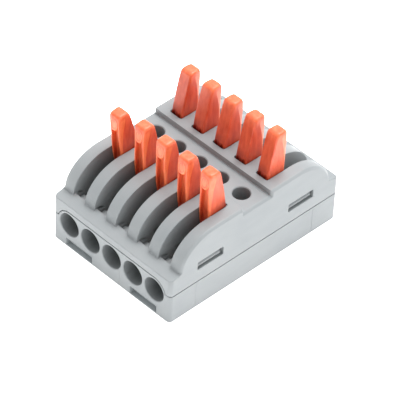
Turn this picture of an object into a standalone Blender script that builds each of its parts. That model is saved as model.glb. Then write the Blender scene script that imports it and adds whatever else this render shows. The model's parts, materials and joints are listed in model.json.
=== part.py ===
"""Lever wire connector: an in-line splice for five wires in and five wires out.

The frame is +X across the poles, +Y along the wires and +Z up. The origin is the middle of the underside.
The front half lies at -Y and the rear half at +Y. The rear half is drawn first, and a half turn about Z
gives the front half. Lengths are written in millimetres and turned into metres where a shape is made.
"""

import math

import bmesh
import bpy
from mathutils import Matrix, Vector

MM = 0.001
CLEARANCE = 0.25  # between two still pieces that face each other
RUNNING_GAP = 0.1  # on each side of a lever in its slot
OVERSHOOT = 1.0  # how far a cutter runs past an outer face
OVERLAP = 0.3  # how far two cutters that meet run into each other

# Housing
POLES = 5
PITCH = 5.0
HALF_WIDTH = 13.8
HALF_LENGTH = 18.95
SEAM_Z = 5.45  # top of the base's side walls
END_SEAM_Z = 7.5  # top of the base's end walls, over the wire ports
SHELF_EDGE_Z = 8.95
SHELF_FOOT_Z = 9.4
FIN_FOOT_Y = 16.86
BLOCK_TOP_Z = 15.2
BLOCK_END_Y = 3.1
CHANNEL_Z = 14.2

# The fins' outer edge is a quarter of an ellipse that ends level with the block's top.
FIN_CENTRE_Y = 9.5
FIN_CENTRE_Z = 9.3
FIN_RADIUS_Y = FIN_FOOT_Y - FIN_CENTRE_Y
FIN_RADIUS_Z = BLOCK_TOP_Z - FIN_CENTRE_Z
FIN_SEGMENTS = 12
SIDE_CHAMFER = 0.38

# Slots for the levers
LEVER_WIDTH = 2.5
SLOT_WIDTH = LEVER_WIDTH + 2 * RUNNING_GAP
SLOT_INNER_Y = 4.45
SLOT_INNER_LOW_Y = 4.2  # the inner wall leans a little, down to the cam pocket
SLOT_STEP_Y = 13.1
SLOT_OUTER_Y = 16.25
SLOT_LEDGE_Y = 14.5
SLOT_LEDGE_Z = 8.7
OPENING_LOW_X, OPENING_HIGH_X = -0.1, 1.2  # beside the ledge, from the middle of a rear slot
OPENING_END_Y = 16.05
CAM_POCKET_Y = 2.35
CAM_POCKET_TOP_Z = 13.3
ABOVE_SHELF = 0.03  # keeps the slots' lower edge off the shelf's own edge

# Hollow inside the housing
CEILING_Z = 9.9
INTO_HOLLOW = 0.63  # how far the cutters from above reach below the ceiling
END_CEILING_Z = 8.0
CHANNEL_HALF_WIDTH = 2.05
COVER_WALL_X = 12.75
COVER_CHANNEL_Y = 13.9
COVER_END_Y = 17.4
BASE_FLOOR_Z = 1.5
BASE_CHANNEL_Y = 12.6
BASE_STOP_Y = 0.7
END_BLOCK_Y = 14.6
END_WALL_ROOT_Z = 3.45
ARCH_SEGMENTS = 6

# Wire ports and test holes
PORT_Z = 4.86
PORT_RADIUS = 2.19
THROAT_RADIUS = 1.5
PORT_DEPTH_Y = 15.6
THROAT_Y = 14.2
PORT_SEGMENTS = 24
TEST_HOLE_RADIUS = 1.52
TEST_HOLE_SEGMENTS = 20

# Latches that hold the cover on the base
WINDOW_LOW_Y, WINDOW_HIGH_Y = 7.37, 13.02
WINDOW_LOW_Z, WINDOW_HIGH_Z = 8.1, 9.7
TAB_INNER_X = 12.05
TAB_OUTER_X = 12.5
TAB_HOOK_X = 13.35
TAB_TOP_Z = 9.5
TAB_HOOK_HEIGHT = 0.3
TAB_ROOT_Z = 4.45

# Pockets at the foot of the end faces
FOOT_POCKET_X = 7.6
FOOT_POCKET_WIDTH = 6.2
FOOT_POCKET_LOW_Z, FOOT_POCKET_HIGH_Z = 0.2, 1.7
FOOT_POCKET_DEPTH = 2.0

# Levers
PIVOT_Y = 5.6
PIVOT_Z = 11.9
TRUNNION_RADIUS = 0.9
TRUNNION_LENGTH = 0.55
SOCKET_RADIUS = 1.05
SOCKET_DEPTH = 0.7
TRUNNION_SEGMENTS = 12
GROOVE_WIDTH = 1.0
GROOVE_FLOOR_Y = 7.25
GROOVE_OPEN_Y = 10.0
GROOVE_LOW_Z, GROOVE_HIGH_Z = 12.8, 20.9
FRONT_LEAN = (5.5, 1.0, 1.0, 1.0, 0.0)  # degrees that each open lever stands outward at rest
REAR_LEAN = (1.0, 1.0, 1.0, 1.0, 1.0)

# Current bars
BAR_HALF_LENGTH = 13.4
BAR_WIDTH = 2.2
BAR_LOW_Z, BAR_HIGH_Z = 5.8, 6.6

# Cage clamp springs
STRIP = 0.34
SPRING_WIDTH = 3.8
LEG_WIDTH = 2.2
LEG_THICKNESS = 0.3
LEG_ROOT_Y, LEG_END_Y = 3.8, 11.35
LEG_Z = 7.05
LOOP_Y = 3.3
LOOP_RADIUS = 1.1
LOOP_SEGMENTS = 10
CAGE_Y = 10.6
SHOULDER_RADIUS = 0.65
WINDOW_WIDTH = 2.7
WINDOW_REACH = 0.4
CAGE_WINDOW_LOW_Z, CAGE_WINDOW_HIGH_Z = 2.75, 7.55

ALONG_X = Matrix(((0, 0, 1, 0), (1, 0, 0, 0), (0, 1, 0, 0), (0, 0, 0, 1)))  # outline (y, z), depth in x
ALONG_Y = Matrix(((1, 0, 0, 0), (0, 0, -1, 0), (0, 1, 0, 0), (0, 0, 0, 1)))  # outline (x, z), depth in y


# ---------------------------------------------------------------- scene and helpers


def clear_scene():
    for obj in list(bpy.data.objects):
        bpy.data.objects.remove(obj, do_unlink=True)
    for collection in list(bpy.data.collections):
        bpy.data.collections.remove(collection)


def new_collection(name):
    collection = bpy.data.collections.new(name)
    bpy.context.scene.collection.children.link(collection)
    return collection


def pole_positions():
    return [(i - (POLES - 1) / 2) * PITCH for i in range(POLES)]


def mesh_object(name, mesh, collection):
    obj = bpy.data.objects.new(name, mesh)
    collection.objects.link(obj)
    return obj


def from_bmesh(name, bm, collection):
    bmesh.ops.recalc_face_normals(bm, faces=bm.faces)
    mesh = bpy.data.meshes.new(name)
    bm.to_mesh(mesh)
    bm.free()
    return mesh_object(name, mesh, collection)


def boxes(name, corners, collection):
    """One mesh of separate boxes, each given by its lowest and its highest corner."""
    bm = bmesh.new()
    for low, high in corners:
        low, high = Vector(low) * MM, Vector(high) * MM
        place = Matrix.Translation((low + high) / 2) @ Matrix.Diagonal((*(high - low), 1))
        bmesh.ops.create_cube(bm, size=1.0, matrix=place)
    return from_bmesh(name, bm, collection)


def cylinders(name, ends, radius, segments, collection):
    """One mesh of separate cylinders, each given by the centres of its two end faces."""
    bm = bmesh.new()
    for start, end in ends:
        start, end = Vector(start) * MM, Vector(end) * MM
        turn = (end - start).to_track_quat("Z", "Y").to_matrix().to_4x4()
        bmesh.ops.create_cone(
            bm,
            cap_ends=True,
            segments=segments,
            radius1=radius * MM,
            radius2=radius * MM,
            depth=(end - start).length,
            matrix=Matrix.Translation((start + end) / 2) @ turn,
        )
    return from_bmesh(name, bm, collection)


def outline(name, points, low, high, plane, collection):
    """A closed outline made solid between two depths, as a filled 2D curve turned into a mesh."""
    curve = bpy.data.curves.new(name, "CURVE")
    curve.dimensions = "2D"
    curve.fill_mode = "BOTH"
    curve.extrude = (high - low) / 2 * MM
    spline = curve.splines.new("POLY")
    spline.points.add(len(points) - 1)
    for point, (u, v) in zip(spline.points, points):
        point.co = (u * MM, v * MM, 0.0, 1.0)
    spline.use_cyclic_u = True
    drawn = mesh_object(name + "_curve", curve, collection)
    graph = bpy.context.evaluated_depsgraph_get()
    filled = bpy.data.meshes.new_from_object(drawn.evaluated_get(graph))
    bm = bmesh.new()
    bm.from_mesh(filled)
    bmesh.ops.remove_doubles(bm, verts=bm.verts, dist=1e-6)
    bmesh.ops.translate(bm, verts=bm.verts, vec=(0, 0, (low + high) / 2 * MM))
    bmesh.ops.transform(bm, verts=bm.verts, matrix=plane)
    bpy.data.objects.remove(drawn)
    bpy.data.meshes.remove(filled)
    return from_bmesh(name, bm, collection)


def turned(name, profile, segments, place, collection):
    """A solid of revolution from (radius, height) points, placed by a matrix."""
    bm = bmesh.new()
    verts = [bm.verts.new((radius * MM, 0, height * MM)) for radius, height in profile]
    for first, second in zip(verts, verts[1:]):
        bm.edges.new((first, second))
    mesh = bpy.data.meshes.new(name)
    bm.to_mesh(mesh)
    bm.free()
    spun = mesh_object(name + "_profile", mesh, collection)
    screw = spun.modifiers.new("turn", "SCREW")
    screw.steps = segments
    screw.render_steps = segments
    screw.use_merge_vertices = True
    screw.merge_threshold = 1e-6
    graph = bpy.context.evaluated_depsgraph_get()
    whole = bpy.data.meshes.new_from_object(spun.evaluated_get(graph))
    bm = bmesh.new()
    bm.from_mesh(whole)
    bmesh.ops.remove_doubles(bm, verts=bm.verts, dist=1e-6)
    bmesh.ops.transform(bm, verts=bm.verts, matrix=place)
    bpy.data.objects.remove(spun)
    bpy.data.meshes.remove(whole)
    return from_bmesh(name, bm, collection)


def joined(name, pieces, collection):
    """Separate bodies gathered in one mesh; they must not touch each other."""
    bm = bmesh.new()
    for piece in pieces:
        bm.from_mesh(piece.data)
    for piece in pieces:
        bpy.data.objects.remove(piece)
    return from_bmesh(name, bm, collection)


def both_halves(points):
    """Boxes of the rear half, followed by the same boxes turned to the front half."""
    front = [((-high[0], -high[1], low[2]), (-low[0], -low[1], high[2])) for low, high in points]
    return points + front


def boolean(target, other, operation):
    modifier = target.modifiers.new(other.name, "BOOLEAN")
    modifier.operation = operation
    modifier.solver = "EXACT"
    modifier.object = other
    other.hide_render = True
    other.display_type = "WIRE"


def finished_mesh(obj, name):
    """The mesh that an object's modifiers make, for pieces that share one mesh."""
    graph = bpy.context.evaluated_depsgraph_get()
    mesh = bpy.data.meshes.new_from_object(obj.evaluated_get(graph))
    mesh.name = name
    mesh.shade_smooth()
    mesh.set_sharp_from_angle(angle=math.radians(35))
    return mesh


def material(name, color, roughness, metallic=0.0):
    made = bpy.data.materials.new(name)
    made.use_nodes = True
    shader = made.node_tree.nodes["Principled BSDF"]
    shader.inputs["Base Color"].default_value = (*color, 1.0)
    shader.inputs["Roughness"].default_value = roughness
    shader.inputs["Metallic"].default_value = metallic
    return made


def arc(centre, radius, start_deg, end_deg, segments):
    """Points along an arc, both ends included."""
    angles = [start_deg + (end_deg - start_deg) * i / segments for i in range(segments + 1)]
    return [
        (
            centre[0] + radius * math.cos(math.radians(angle)),
            centre[1] + radius * math.sin(math.radians(angle)),
        )
        for angle in angles
    ]


# ---------------------------------------------------------------- housing


def fin_edge():
    """The rear fins' outer edge in (y, z), from the foot up to the level top."""
    start = math.asin((SHELF_FOOT_Z - FIN_CENTRE_Z) / FIN_RADIUS_Z)
    points = []
    for i in range(FIN_SEGMENTS + 1):
        angle = start + (math.pi / 2 - start) * i / FIN_SEGMENTS
        y = FIN_CENTRE_Y + FIN_RADIUS_Y * math.cos(angle)
        z = FIN_CENTRE_Z + FIN_RADIUS_Z * math.sin(angle)
        points.append((y, z))
    return points


def end_wall_outline(grow):
    """The base's raised end wall in (x, z): level over the ports, and round past the outer ones."""
    outer_pole = pole_positions()[-1]
    radius = END_SEAM_Z - PORT_Z + grow
    low_angle = math.degrees(math.asin((SEAM_Z - PORT_Z) / radius))
    right = arc((outer_pole, PORT_Z), radius, low_angle, 90, ARCH_SEGMENTS)
    left = [(-x, z) for x, z in reversed(right)]
    return right + left


def cover_blank(collection):
    """The cover's outer form, with its long top edges chamfered."""
    bottom = SEAM_Z + CLEARANCE
    half = [
        (HALF_LENGTH, bottom),
        (HALF_LENGTH, SHELF_EDGE_Z),
        *fin_edge(),
        (BLOCK_END_Y, BLOCK_TOP_Z),
        (BLOCK_END_Y, CHANNEL_Z),
    ]
    points = half + [(-y, z) for y, z in reversed(half)]
    cover = outline("cover", points, -HALF_WIDTH, HALF_WIDTH, ALONG_X, collection)
    weights = cover.data.attributes.new("bevel_weight_edge", "FLOAT", "EDGE")
    for edge in cover.data.edges:
        ends = [cover.data.vertices[i].co / MM for i in edge.vertices]
        on_side = all(abs(abs(end.x) - HALF_WIDTH) < 0.001 for end in ends)
        on_top = all(end.z > SHELF_FOOT_Z - 0.001 and abs(end.y) < FIN_FOOT_Y for end in ends)
        weights.data[edge.index].value = 1.0 if on_side and on_top and ends[0].x * ends[1].x > 0 else 0.0
    bevel = cover.modifiers.new("side_chamfer", "BEVEL")
    bevel.limit_method = "WEIGHT"
    bevel.width = SIDE_CHAMFER * MM
    bevel.segments = 1
    return cover


def slot_cutter(collection):
    """The slots that the levers fold into, with the pockets that their cams swing through."""
    over = BLOCK_TOP_Z + OVERSHOOT
    beyond = FIN_FOOT_Y + OVERSHOOT
    rear = [
        (CAM_POCKET_Y, CEILING_Z - INTO_HOLLOW),
        (SLOT_STEP_Y, CEILING_Z - INTO_HOLLOW),
        (SLOT_STEP_Y, END_CEILING_Z - INTO_HOLLOW),
        (SLOT_LEDGE_Y, END_CEILING_Z - INTO_HOLLOW),
        (SLOT_LEDGE_Y, SLOT_LEDGE_Z),
        (SLOT_OUTER_Y, SLOT_LEDGE_Z),
        (SLOT_OUTER_Y, SHELF_FOOT_Z + ABOVE_SHELF),
        (beyond, SHELF_FOOT_Z + ABOVE_SHELF),
        (beyond, over),
        (SLOT_INNER_Y, over),
        (SLOT_INNER_LOW_Y, CAM_POCKET_TOP_Z),
        (CAM_POCKET_Y, CAM_POCKET_TOP_Z),
    ]
    cutters = []
    for x in pole_positions():
        low, high = x - SLOT_WIDTH / 2, x + SLOT_WIDTH / 2
        cutters.append(outline("slot", rear, low, high, ALONG_X, collection))
        front = [(-y, z) for y, z in reversed(rear)]
        cutters.append(outline("slot", front, low, high, ALONG_X, collection))
    return joined("slots", cutters, collection)


def ledge_openings(collection):
    """Beside each slot's ledge, an opening down to the pocket over the wire port."""
    corners = []
    for x in pole_positions():
        low = (x + OPENING_LOW_X, SLOT_LEDGE_Y - OVERLAP, END_CEILING_Z - INTO_HOLLOW)
        high = (x + OPENING_HIGH_X, OPENING_END_Y, SLOT_LEDGE_Z + OVERLAP)
        corners.append((low, high))
    return boxes("ledge_openings", both_halves(corners), collection)


def cover_hollow(collection):
    """One channel for each pole, wider at the sides where the base's tabs rise."""
    corners = []
    outer = pole_positions()[-1]
    for x in pole_positions():
        low = -COVER_WALL_X if x == -outer else x - CHANNEL_HALF_WIDTH
        high = COVER_WALL_X if x == outer else x + CHANNEL_HALF_WIDTH
        corners.append(((low, -COVER_CHANNEL_Y, 0), (high, COVER_CHANNEL_Y, CEILING_Z)))
    return boxes("cover_channels", corners, collection)


def make_cover(parts, cutters):
    cover = cover_blank(parts)
    boolean(cover, cover_hollow(cutters), "DIFFERENCE")
    end_low = (-COVER_WALL_X, COVER_CHANNEL_Y - OVERLAP, 0)
    end_high = (COVER_WALL_X, COVER_END_Y, END_CEILING_Z)
    boolean(cover, boxes("cover_end_pockets", both_halves([(end_low, end_high)]), cutters), "DIFFERENCE")
    boolean(cover, slot_cutter(cutters), "DIFFERENCE")
    boolean(cover, ledge_openings(cutters), "DIFFERENCE")
    arch, reach = end_wall_outline(CLEARANCE), HALF_LENGTH + OVERSHOOT
    boolean(cover, outline("cover_end_arches", arch, -reach, reach, ALONG_Y, cutters), "DIFFERENCE")
    holes = [((x, 0, CEILING_Z - INTO_HOLLOW), (x, 0, BLOCK_TOP_Z)) for x in pole_positions()]
    hole_cutter = cylinders("test_holes", holes, TEST_HOLE_RADIUS, TEST_HOLE_SEGMENTS, cutters)
    boolean(cover, hole_cutter, "DIFFERENCE")
    reach = SLOT_WIDTH / 2 + SOCKET_DEPTH
    sockets = [
        ((x - reach, side * PIVOT_Y, PIVOT_Z), (x + reach, side * PIVOT_Y, PIVOT_Z))
        for x in pole_positions()
        for side in (-1, 1)
    ]
    boolean(cover, cylinders("sockets", sockets, SOCKET_RADIUS, TRUNNION_SEGMENTS, cutters), "DIFFERENCE")
    windows = []
    for side in (-1, 1):
        for end in (-1, 1):
            xs = sorted((side * (COVER_WALL_X - OVERLAP), side * (HALF_WIDTH + OVERSHOOT)))
            ys = sorted((end * WINDOW_LOW_Y, end * WINDOW_HIGH_Y))
            windows.append(((xs[0], ys[0], WINDOW_LOW_Z), (xs[1], ys[1], WINDOW_HIGH_Z)))
    boolean(cover, boxes("latch_windows", windows, cutters), "DIFFERENCE")
    return cover


def base_tabs(collection):
    """The four latch tabs: an upright with a hook whose sloping top lets the cover slide on."""
    low_y, high_y = WINDOW_LOW_Y + CLEARANCE, WINDOW_HIGH_Y - CLEARANCE
    hook = [
        (TAB_INNER_X, TAB_ROOT_Z),
        (TAB_OUTER_X, TAB_ROOT_Z),
        (TAB_OUTER_X, WINDOW_LOW_Z + CLEARANCE),
        (TAB_HOOK_X, WINDOW_LOW_Z + CLEARANCE),
        (TAB_HOOK_X, WINDOW_LOW_Z + CLEARANCE + TAB_HOOK_HEIGHT),
        (TAB_OUTER_X, TAB_TOP_Z),
        (TAB_INNER_X, TAB_TOP_Z),
    ]
    mirrored = [(-x, z) for x, z in reversed(hook)]
    tabs = []
    for points in (hook, mirrored):
        tabs.append(outline("tab", points, -high_y, -low_y, ALONG_Y, collection))
        tabs.append(outline("tab", points, low_y, high_y, ALONG_Y, collection))
    return joined("latch_tabs", tabs, collection)


def port_cutter(collection):
    """The round wire entries, each narrowing to the throat that guides the bare wire."""
    profile = [
        (0, HALF_LENGTH + OVERSHOOT),
        (PORT_RADIUS, HALF_LENGTH + OVERSHOOT),
        (PORT_RADIUS, PORT_DEPTH_Y),
        (THROAT_RADIUS, THROAT_Y),
        (THROAT_RADIUS, BASE_CHANNEL_Y - OVERLAP),
        (0, BASE_CHANNEL_Y - OVERLAP),
    ]
    cutters = []
    for x in pole_positions():
        for turn in (-math.pi / 2, math.pi / 2):
            place = Matrix.Translation(Vector((x, 0, PORT_Z)) * MM) @ Matrix.Rotation(turn, 4, "X")
            cutters.append(turned("port", profile, PORT_SEGMENTS, place, collection))
    return joined("wire_ports", cutters, collection)


def make_base(parts, cutters):
    tray_low = (-HALF_WIDTH, -HALF_LENGTH, 0)
    tray_high = (HALF_WIDTH, HALF_LENGTH, SEAM_Z)
    base = boxes("base", [(tray_low, tray_high)], parts)
    channels = []
    for x in pole_positions():
        low = (x - CHANNEL_HALF_WIDTH, BASE_STOP_Y, BASE_FLOOR_Z)
        high = (x + CHANNEL_HALF_WIDTH, BASE_CHANNEL_Y, SEAM_Z + OVERSHOOT)
        channels.append((low, high))
    boolean(base, boxes("base_channels", both_halves(channels), cutters), "DIFFERENCE")
    raised = end_wall_outline(0)
    raised = raised + [(raised[-1][0], END_WALL_ROOT_Z), (raised[0][0], END_WALL_ROOT_Z)]
    walls = [
        outline("end_wall", raised, -HALF_LENGTH, -END_BLOCK_Y, ALONG_Y, cutters),
        outline("end_wall", raised, END_BLOCK_Y, HALF_LENGTH, ALONG_Y, cutters),
    ]
    boolean(base, joined("end_walls", walls, cutters), "UNION")
    boolean(base, base_tabs(cutters), "UNION")
    boolean(base, port_cutter(cutters), "DIFFERENCE")
    pockets = []
    for x in (-FOOT_POCKET_X, FOOT_POCKET_X):
        low = (x - FOOT_POCKET_WIDTH / 2, HALF_LENGTH - FOOT_POCKET_DEPTH, FOOT_POCKET_LOW_Z)
        high = (x + FOOT_POCKET_WIDTH / 2, HALF_LENGTH + OVERSHOOT, FOOT_POCKET_HIGH_Z)
        pockets.append((low, high))
    boolean(base, boxes("foot_pockets", both_halves(pockets), cutters), "DIFFERENCE")
    return base


# ---------------------------------------------------------------- metal parts


def bar_mesh(collection):
    low = (-BAR_WIDTH / 2, -BAR_HALF_LENGTH, BAR_LOW_Z)
    high = (BAR_WIDTH / 2, BAR_HALF_LENGTH, BAR_HIGH_Z)
    bar = boxes("bar", [(low, high)], collection)
    mesh = finished_mesh(bar, "current_bar")
    bpy.data.objects.remove(bar)
    return mesh


def strip_outline(path, thickness):
    """The outline of a bent strip whose middle follows a path."""
    left, right = [], []
    for i, here in enumerate(path):
        before = Vector(path[max(i - 1, 0)])
        after = Vector(path[min(i + 1, len(path) - 1)])
        along = (after - before).normalized()
        across = Vector((-along.y, along.x)) * thickness / 2
        left.append(tuple(Vector(here) + across))
        right.append(tuple(Vector(here) - across))
    return left + right[::-1]


def spring_path():
    """The rear spring's middle line in (y, z): root of the leg, loop, pressed arm, cage and lip."""
    top = LEG_Z + 2 * LOOP_RADIUS
    loop = arc((LOOP_Y, LEG_Z + LOOP_RADIUS), LOOP_RADIUS, 270, 90, LOOP_SEGMENTS)
    pressed_arm = [(3.9, top - 0.28), (4.5, 8.62), (5.0, 8.5), (5.6, 8.4), (6.6, 8.3), (9.7, 8.15)]
    shoulder = arc((CAGE_Y - SHOULDER_RADIUS, 7.5), SHOULDER_RADIUS, 80, 0, 4)
    lip = [(CAGE_Y, 2.35), (CAGE_Y - 0.15, 2.05), (CAGE_Y - 0.5, 1.88), (CAGE_Y - 1.1, 1.84)]
    return [(LOOP_Y + 1.0, LEG_Z), *loop, *pressed_arm, *shoulder, *lip]


def spring_mesh(collection):
    """A bent strip whose cage has a window, and whose narrow leg passes through that window."""
    half = SPRING_WIDTH / 2
    spring = outline("spring", strip_outline(spring_path(), STRIP), -half, half, ALONG_X, collection)
    window_low = (-WINDOW_WIDTH / 2, CAGE_Y - WINDOW_REACH, CAGE_WINDOW_LOW_Z)
    window_high = (WINDOW_WIDTH / 2, CAGE_Y + WINDOW_REACH, CAGE_WINDOW_HIGH_Z)
    window = boxes("cage_window", [(window_low, window_high)], collection)
    leg_low = (-LEG_WIDTH / 2, LEG_ROOT_Y, LEG_Z - LEG_THICKNESS / 2)
    leg_high = (LEG_WIDTH / 2, LEG_END_Y, LEG_Z + LEG_THICKNESS / 2)
    leg = boxes("leg", [(leg_low, leg_high)], collection)
    boolean(spring, window, "DIFFERENCE")
    boolean(spring, leg, "UNION")
    mesh = finished_mesh(spring, "cage_spring")
    for used in (spring, window, leg):
        bpy.data.objects.remove(used)
    return mesh


# ---------------------------------------------------------------- levers


def lever_outline():
    """An upright rear lever in (y, z), measured from its pivot."""
    toe = [(4.35, 9.3), (4.6, 9.08), (5.1, 8.93), (5.6, 8.9), (6.2, 8.96), (6.87, 9.18)]
    outer_side = [(7.5, 9.75), (7.85, 10.6), (8.05, 12.0), (8.3, 14.8), (8.38, 18.0), (8.48, 20.5)]
    tip = [(8.5, 22.6), (8.38, 23.15), (8.1, 23.45), (6.85, 23.45), (6.5, 23.2), (6.25, 22.5)]
    inner_side = [(5.9, 21.4), (5.25, 18.8), (4.75, 16.0), (4.58, 14.6), (4.5, 13.4)]
    heel = [(4.12, 12.6), (3.85, 11.9), (3.9, 11.2), (4.3, 10.4)]
    return [(y - PIVOT_Y, z - PIVOT_Z) for y, z in toe + outer_side + tip + inner_side + heel]


def lever_mesh(collection):
    half = LEVER_WIDTH / 2
    lever = outline("lever", lever_outline(), -half, half, ALONG_X, collection)
    groove_low = (-GROOVE_WIDTH / 2, GROOVE_FLOOR_Y - PIVOT_Y, GROOVE_LOW_Z - PIVOT_Z)
    groove_high = (GROOVE_WIDTH / 2, GROOVE_OPEN_Y - PIVOT_Y, GROOVE_HIGH_Z - PIVOT_Z)
    groove = boxes("groove", [(groove_low, groove_high)], collection)
    reach = half + TRUNNION_LENGTH
    trunnions = cylinders(
        "trunnions", [((-reach, 0, 0), (reach, 0, 0))], TRUNNION_RADIUS, TRUNNION_SEGMENTS, collection
    )
    boolean(lever, groove, "DIFFERENCE")
    boolean(lever, trunnions, "UNION")
    mesh = finished_mesh(lever, "lever")
    for used in (lever, groove, trunnions):
        bpy.data.objects.remove(used)
    return mesh


# ---------------------------------------------------------------- assembly


def place_pair(name, mesh, x, at, lean_front, lean_rear, parts, shade):
    """A rear piece and its front twin, which is turned half round; a lean tips it outward."""
    for half, lean in (("rear", lean_rear), ("front", lean_front)):
        side = 1 if half == "rear" else -1
        obj = mesh_object(f"{half}_{name}", mesh, parts)
        obj.location = Vector((x, side * at[0], at[1])) * MM
        turn = 0.0 if half == "rear" else math.pi
        obj.rotation_euler = (Matrix.Rotation(turn, 3, "Z") @ Matrix.Rotation(-lean, 3, "X")).to_euler()
        if not mesh.materials:
            mesh.materials.append(shade)


def main():
    clear_scene()
    parts = new_collection("lever_wire_connector")
    cutters = new_collection("cutters")
    cutters.hide_render = True

    grey = material("grey_housing", (0.53, 0.55, 0.56), 0.45)
    orange = material("orange_lever", (0.87, 0.16, 0.06), 0.38)
    copper = material("tinned_copper", (0.78, 0.75, 0.70), 0.28, metallic=1.0)
    steel = material("spring_steel", (0.62, 0.62, 0.63), 0.3, metallic=1.0)

    make_cover(parts, cutters).data.materials.append(grey)
    make_base(parts, cutters).data.materials.append(grey)

    bar = bar_mesh(cutters)
    bar.materials.append(copper)
    spring = spring_mesh(cutters)
    lever = lever_mesh(cutters)
    for i, x in enumerate(pole_positions()):
        mesh_object(f"current_bar_{i + 1}", bar, parts).location = (x * MM, 0, 0)
        place_pair(f"spring_{i + 1}", spring, x, (0, 0), 0.0, 0.0, parts, steel)
        leans = [math.radians(lean[i]) for lean in (FRONT_LEAN, REAR_LEAN)]
        place_pair(f"lever_{i + 1}", lever, x, (PIVOT_Y, PIVOT_Z), *leans, parts, orange)


main()
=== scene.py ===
import json
import math

import bmesh
import bpy
from mathutils import Matrix, Vector


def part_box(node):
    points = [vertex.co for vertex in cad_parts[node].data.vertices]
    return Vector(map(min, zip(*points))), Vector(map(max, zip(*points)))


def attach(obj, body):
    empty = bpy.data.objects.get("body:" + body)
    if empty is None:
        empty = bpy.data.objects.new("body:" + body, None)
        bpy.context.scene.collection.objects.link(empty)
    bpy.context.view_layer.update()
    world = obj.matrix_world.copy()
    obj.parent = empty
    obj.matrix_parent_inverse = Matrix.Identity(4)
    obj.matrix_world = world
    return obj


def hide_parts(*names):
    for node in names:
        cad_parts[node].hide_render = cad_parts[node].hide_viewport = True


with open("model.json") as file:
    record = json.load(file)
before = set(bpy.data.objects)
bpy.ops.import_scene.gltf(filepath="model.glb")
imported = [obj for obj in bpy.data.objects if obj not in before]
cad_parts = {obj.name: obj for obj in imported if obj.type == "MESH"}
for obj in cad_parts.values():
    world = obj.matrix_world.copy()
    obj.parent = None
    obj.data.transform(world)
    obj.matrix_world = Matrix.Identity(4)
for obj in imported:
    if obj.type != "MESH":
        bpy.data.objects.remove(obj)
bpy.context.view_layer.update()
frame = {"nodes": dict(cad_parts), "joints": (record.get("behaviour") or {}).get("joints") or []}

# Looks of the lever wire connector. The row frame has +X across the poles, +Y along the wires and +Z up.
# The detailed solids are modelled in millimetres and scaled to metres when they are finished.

MM = 0.001
POLES = range(1, 6)

# ---------------------------------------------------------------- sizes taken from the frame


def box_mm(node):
    """A CAD node's lowest and highest corner in millimetres."""
    low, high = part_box(node)
    return low / MM, high / MM


COVER_HIGH = box_mm("cover")[1]
HALF_WIDTH = COVER_HIGH.x
HALF_LENGTH = COVER_HIGH.y
BLOCK_TOP_Z = COVER_HIGH.z
JOINTS = {joint["child"]: joint for joint in frame["joints"]}
POLE_X = [JOINTS[f"rear_lever_{i}_body"]["pos_m"][0] / MM for i in POLES]
PIVOT_Y = JOINTS["rear_lever_3_body"]["pos_m"][1] / MM
PIVOT_Z = JOINTS["rear_lever_3_body"]["pos_m"][2] / MM

# ---------------------------------------------------------------- mesh settings

WELD_DISTANCE = 1e-5
NEAR = 0.001  # how close a point counts as lying on a plane
ROUND_SEGMENTS = 48
SMALL_SEGMENTS = 24
EDGE_SEGMENTS = 2
EDGE_ANGLE_DEG = 32
SMOOTH_ANGLE_DEG = 50

# ---------------------------------------------------------------- housing sizes in millimetres

SEAM_GAP = 0.1
SEAM_Z = 5.52
MIDDLE_DROP = 0.05  # the walls between the base's channels stop this far below the seam
END_SEAM_Z = 7.5
ARCH_SEGMENTS = 16
CORNER_RADIUS = 0.75
CORNER_SEGMENTS = 8
EDGE_RADIUS = 0.12
BASE_EDGE_RADIUS = 0.09
OVERSHOOT = 1.0  # how far a cutter runs past an outer face
OVERLAP = 0.3  # how far two cutters that meet run into each other

# The shelf rises from the end face to the fins, whose outer edge is a quarter of an ellipse.
SHELF_EDGE_Z = 8.95
SHELF_FOOT_Z = 9.4
FIN_FOOT_Y = 16.86
FIN_CENTRE_Y, FIN_CENTRE_Z = 9.5, 9.3
FIN_SEGMENTS = 40
BLOCK_END_Y = 3.1
CHANNEL_Z = 14.2
SIDE_CHAMFER = 0.38

# Slots that the levers fold into, with the ledge that a closed lever's tip lies over
SLOT_HALF_WIDTH = 1.35
SLOT_INNER_Y = 4.45
SLOT_INNER_LOW_Y = 4.2
SLOT_OUTER_Y = 16.25
SLOT_LEDGE_Y = 14.5
SLOT_LEDGE_Z = 8.7
SLOT_STEP_Y = 12.5
SLOT_CORNER = 0.45
SLOT_CORNER_SEGMENTS = 5
LIP_DROP = 0.12  # how far a slot's lip falls towards the end face
OPENING_X = (0.5, 1.3)
OPENING_END_Y = 15.85
OPENING_FLOOR_Z = 8.1
CAM_POCKET_Y = 2.35
CAM_POCKET_TOP_Z = 13.3

# Hollow inside the housing
CEILING_Z = 9.9
INTO_HOLLOW = 0.63  # how far the cutters from above reach below the ceiling
END_CEILING_Z = 7.75
CHANNEL_HALF_WIDTH = 2.05
COVER_WALL_X = 12.75
COVER_CHANNEL_Y = 12.9
COVER_END_Y = 17.4
BASE_FLOOR_Z = 1.5
BASE_STOP_Y = 0.7
BASE_CHANNEL_Y = 12.6
END_BLOCK_Y = 13.9

# Wire entries, test holes and the sockets of the trunnions
PORT_Z = 4.86
PORT_RADIUS = 2.19
PORT_RIM = 0.16
PORT_DRAFT = 0.05
THROAT_RADIUS = 1.5
PORT_DEPTH_Y = 15.6
THROAT_Y = 14.2
HOLE_RADIUS = 1.52
HOLE_RIM = 0.14
RIM_BEND, RIM_REACH = 0.3, 1.7  # shape of a broken edge, as shares of its rim
SOCKET_RADIUS = 1.05
SOCKET_DEPTH = 0.7

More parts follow.
